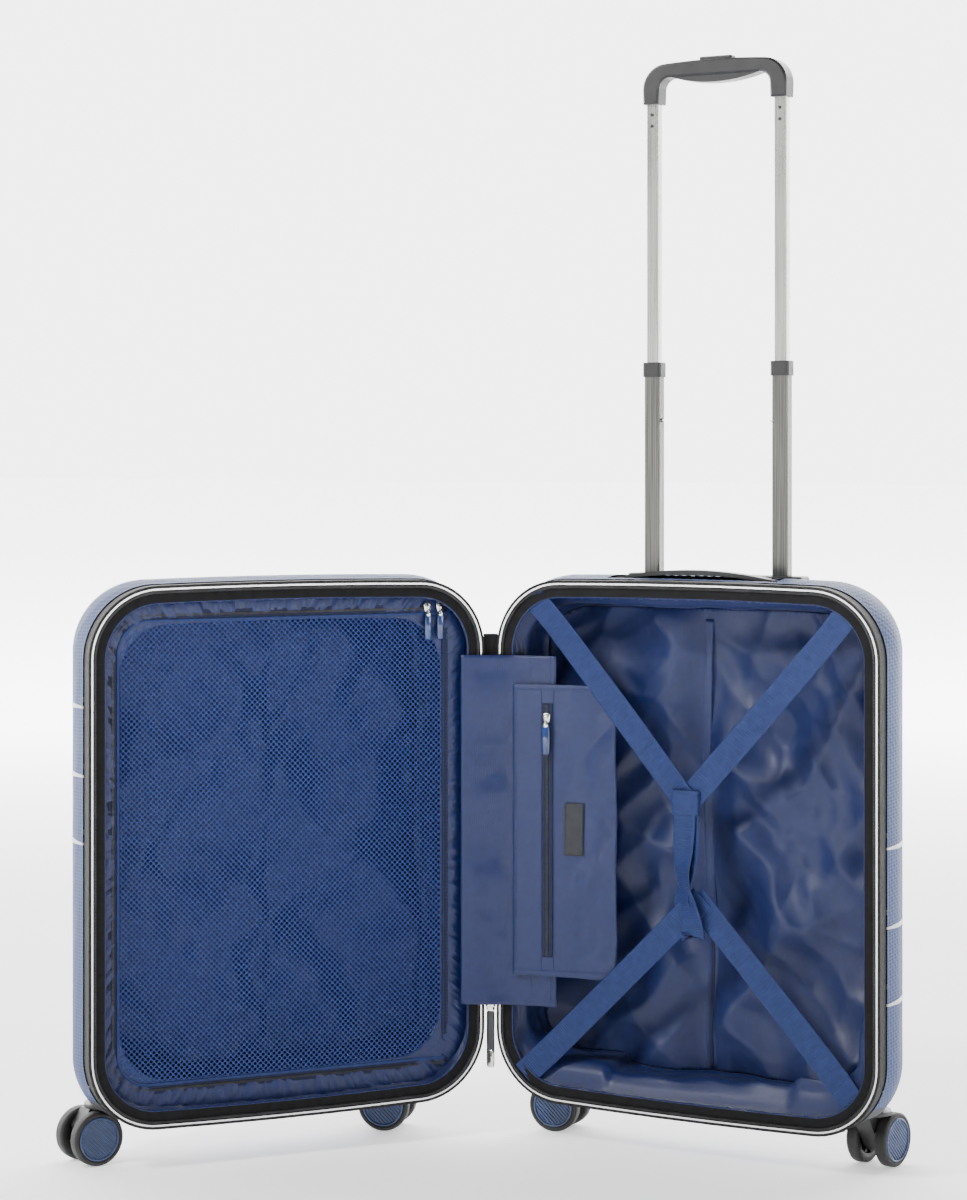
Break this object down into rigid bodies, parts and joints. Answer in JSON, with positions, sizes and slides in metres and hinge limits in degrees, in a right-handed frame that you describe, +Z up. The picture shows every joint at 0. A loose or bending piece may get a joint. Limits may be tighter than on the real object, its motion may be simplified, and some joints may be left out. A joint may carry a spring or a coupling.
{
  "type": "hard shell suitcase on wheels",
  "caption": "Hard shell cabin suitcase standing open on swivel casters, with a zip hinge, lined halves, net divider, cross straps, zip pocket and telescopic trolley handle.",
  "frame": {"origin": "middle of the whole open case's box, on the floor under the wheels", "axes": "+Z up; +Y runs from the opening of the back half through its rear face; the back half's hinge edge is at its -X side"},
  "size_m": [0.7064, 0.436, 1.0422],
  "materials": {
    "shell_blue": "satin, fine diagonal ribs",
    "band_black": "textured",
    "piping_silver": "bright",
    "tape_black": "woven tape",
    "lining_navy": "satin",
    "netting_navy": "hexagonal net",
    "webbing_navy": "ribbed webbing",
    "aluminium_bright": "satin anodised",
    "aluminium_dark": "dark anodised",
    "plastic_black": "fine texture",
    "housing_grey": "fine texture",
    "zinc_bright": "plated",
    "pull_blue": "glossy",
    "label_grey": "woven",
    "tyre_black": "matt",
    "wheel_blue": "satin, ribbed"
  },
  "bodies": {
    "back_half": {"back_shell": "shell_blue", "back_rim_band": "band_black", "back_piping": "piping_silver", "back_zip_tape": "tape_black", "back_zip_teeth": "tape_black", "back_lining": "lining_navy", "upper_straps": "webbing_navy", "lower_straps": "webbing_navy", "strap_keeper": "webbing_navy", "strap_loop": "webbing_navy", "outer_tubes": "aluminium_dark", "trolley_bezel": "plastic_black", "handle_base": "plastic_black", "back_wheel_housings": "housing_grey", "hinge_tape": "tape_black", "hinge_flap": "lining_navy", "pocket": "lining_navy", "pocket_zip": "tape_black", "pocket_label": "label_grey", "main_zip_slider": "zinc_bright"},
    "front_half": {"front_shell": "shell_blue", "front_rim_band": "band_black", "front_piping": "piping_silver", "front_zip_tape": "tape_black", "front_zip_teeth": "tape_black", "front_lining": "lining_navy", "divider_border": "lining_navy", "divider_net": "netting_navy", "divider_zip": "tape_black", "front_wheel_housings": "housing_grey"},
    "pocket_zip_slider": {"pocket_slider": "zinc_bright", "pocket_pull": "pull_blue"},
    "divider_zip_outer": {"divider_slider_outer": "zinc_bright", "divider_pull_outer": "pull_blue"},
    "divider_zip_inner": {"divider_slider_inner": "zinc_bright", "divider_pull_inner": "pull_blue"},
    "main_pull": {"main_zip_pull": "pull_blue"},
    "trolley_middle": {"middle_tubes": "aluminium_dark", "collars": "plastic_black", "stage_pins": "zinc_bright"},
    "trolley_inner": {"inner_tubes": "aluminium_bright", "tube_guides": "plastic_black", "grip": "plastic_black", "grip_insert": "plastic_black", "grip_screws": "plastic_black"},
    "button": {"release_button": "plastic_black"},
    "rods": {"release_rods": "zinc_bright"},
    "top_handle": {"carry_handle": "plastic_black"},
    "caster_front_outer": {"fork_front_outer": "plastic_black"},
    "roller_front_outer_a": {"wheel_front_outer_a": "wheel_blue"},
    "roller_front_outer_b": {"wheel_front_outer_b": "wheel_blue"},
    "caster_front_inner": {"fork_front_inner": "plastic_black"},
    "roller_front_inner_a": {"wheel_front_inner_a": "wheel_blue"},
    "roller_front_inner_b": {"wheel_front_inner_b": "wheel_blue"},
    "caster_back_inner": {"fork_back_inner": "plastic_black"},
    "roller_back_inner_a": {"wheel_back_inner_a": "wheel_blue"},
    "roller_back_inner_b": {"wheel_back_inner_b": "wheel_blue"},
    "caster_back_outer": {"fork_back_outer": "plastic_black"},
    "roller_back_outer_a": {"wheel_back_outer_a": "wheel_blue"},
    "roller_back_outer_b": {"wheel_back_outer_b": "wheel_blue"}
  },
  "joints": [
    {"name": "lid_hinge", "type": "hinge", "parent": "back_half", "child": "front_half", "pos_m": [-0.05349, 0.11167, 0.2885], "axis": [0, 0, 1], "range_deg": [-54.64, 125.36], "deforming": ["hinge_tape", "hinge_flap"]},
    {"name": "trolley_middle_slide", "type": "slide", "parent": "back_half", "child": "trolley_middle", "axis": [0, 0, 1], "range_m": [-0.185, 0]},
    {"name": "trolley_inner_slide", "type": "slide", "parent": "trolley_middle", "child": "trolley_inner", "axis": [0, 0, 1], "range_m": [-0.248, 0]},
    {"name": "release_button_press", "type": "slide", "parent": "trolley_inner", "child": "button", "axis": [0, 0, -1], "range_m": [0, 0.003], "stiffness_N_per_m": 300},
    {"name": "release_rod_travel", "type": "slide", "parent": "trolley_inner", "child": "rods", "axis": [0, 0, -1], "range_m": [0, 0.003]},
    {"name": "carry_handle_lift", "type": "slide", "parent": "back_half", "child": "top_handle", "axis": [0, 0, 1], "range_m": [0, 0.01]},
    {"name": "pocket_zip_slide", "type": "slide", "parent": "back_half", "child": "pocket_zip_slider", "axis": [0, 0, -1], "range_m": [0, 0.205]},
    {"name": "divider_zip_outer_slide", "type": "slide", "parent": "front_half", "child": "divider_zip_outer", "axis": [-0.5787, -0.8155, 0], "range_m": [0, 0.26]},
    {"name": "divider_zip_inner_slide", "type": "slide", "parent": "front_half", "child": "divider_zip_inner", "axis": [-0.5787, -0.8155, 0], "range_m": [0, 0.26]},
    {"name": "main_pull_swing", "type": "hinge", "parent": "back_half", "child": "main_pull", "pos_m": [-0.05349, 0.11167, 0.1195], "axis": [1, 0, 0], "range_deg": [0, 85]},
    {"name": "swivel_front_outer", "type": "hinge", "parent": "front_half", "child": "caster_front_outer", "pos_m": [-0.31649, -0.15355, 0.055], "axis": [0, 0, 1], "continuous": true},
    {"name": "spin_front_outer_a", "type": "hinge", "parent": "caster_front_outer", "child": "roller_front_outer_a", "pos_m": [-0.32414, -0.16985, 0.025], "axis": [-0.9052, 0.425, 0], "continuous": true},
    {"name": "spin_front_outer_b", "type": "hinge", "parent": "caster_front_outer", "child": "roller_front_outer_b", "pos_m": [-0.32414, -0.16985, 0.025], "axis": [-0.9052, 0.425, 0], "continuous": true},
    {"name": "swivel_front_inner", "type": "hinge", "parent": "front_half", "child": "caster_front_inner", "pos_m": [-0.13999, 0.09519, 0.055], "axis": [0, 0, 1], "continuous": true},
    {"name": "spin_front_inner_a", "type": "hinge", "parent": "caster_front_inner", "child": "roller_front_inner_a", "pos_m": [-0.15717, 0.08982, 0.025], "axis": [-0.2982, 0.9545, 0], "continuous": true},
    {"name": "spin_front_inner_b", "type": "hinge", "parent": "caster_front_inner", "child": "roller_front_inner_b", "pos_m": [-0.15717, 0.08982, 0.025], "axis": [-0.2982, 0.9545, 0], "continuous": true},
    {"name": "swivel_back_inner", "type": "hinge", "parent": "back_half", "child": "caster_back_inner", "pos_m": [0.01001, 0.17267, 0.055], "axis": [0, 0, 1], "continuous": true},
    {"name": "spin_back_inner_a", "type": "hinge", "parent": "caster_back_inner", "child": "roller_back_inner_a", "pos_m": [-0.00791, 0.17102, 0.025], "axis": [-0.0915, 0.9958, 0], "continuous": true},
    {"name": "spin_back_inner_b", "type": "hinge", "parent": "caster_back_inner", "child": "roller_back_inner_b", "pos_m": [-0.00791, 0.17102, 0.025], "axis": [-0.0915, 0.9958, 0], "continuous": true},
    {"name": "swivel_back_outer", "type": "hinge", "parent": "back_half", "child": "caster_back_outer", "pos_m": [0.31501, 0.17267, 0.055], "axis": [0, 0, 1], "continuous": true},
    {"name": "spin_back_outer_a", "type": "hinge", "parent": "caster_back_outer", "child": "roller_back_outer_a", "pos_m": [0.31756, 0.19049, 0.025], "axis": [0.9899, -0.1418, 0], "continuous": true},
    {"name": "spin_back_outer_b", "type": "hinge", "parent": "caster_back_outer", "child": "roller_back_outer_b", "pos_m": [0.31756, 0.19049, 0.025], "axis": [0.9899, -0.1418, 0], "continuous": true}
  ],
  "couplings": [
    {"joint": "release_rod_travel", "follows": "release_button_press", "ratio": 1},
    {"joint": "divider_zip_inner_slide", "follows": "divider_zip_outer_slide", "ratio": 1}
  ]
}
